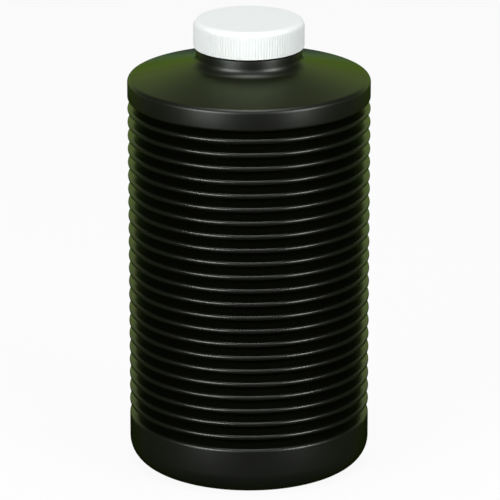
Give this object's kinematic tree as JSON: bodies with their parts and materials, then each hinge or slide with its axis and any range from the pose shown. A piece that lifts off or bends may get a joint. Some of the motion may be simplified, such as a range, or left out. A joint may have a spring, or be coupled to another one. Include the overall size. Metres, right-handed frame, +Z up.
{
  "type": "collapsible bottle",
  "caption": "Upright round plastic bottle with pleated walls that fold down to push the air out, a sloping shoulder, a short wide neck and a ribbed screw cap with a sealing disc.",
  "frame": {"origin": "centre of the base, on the surface the bottle stands on", "axes": "+Z up along the bottle's axis, +X to the right and +Y away from the viewer of the picture"},
  "size_m": [0.098, 0.098, 0.1863],
  "materials": {
    "black_polyethylene": "satin, as blow moulded",
    "white_polypropylene": "smooth, as injection moulded",
    "liner_foam": "matt foamed polyethylene"
  },
  "bodies": {
    "base": {"base_cup": "black_polyethylene", "bellows": "black_polyethylene"},
    "shoulder": {"shoulder_neck": "black_polyethylene"},
    "liner": {"cap_liner": "liner_foam"},
    "cap": {"screw_cap": "white_polypropylene"}
  },
  "joints": [
    {"name": "bellows_collapse", "type": "slide", "parent": "base", "child": "shoulder", "axis": [0, 0, -1], "range_m": [0, 0.064], "stiffness_N_per_m": 600, "springref_m": -0.002, "deforming": ["bellows"]},
    {"name": "cap_lift", "type": "slide", "parent": "shoulder", "child": "liner", "axis": [0, 0, 1], "range_m": [0, 0.0161]},
    {"name": "cap_unscrew", "type": "hinge", "parent": "liner", "child": "cap", "pos_m": [0, 0, 0.18], "axis": [0, 0, 1], "range_deg": [0, 1440]}
  ],
  "couplings": [
    {"joint": "cap_lift", "follows": "cap_unscrew", "m_per_rad": 0.00063662}
  ]
}
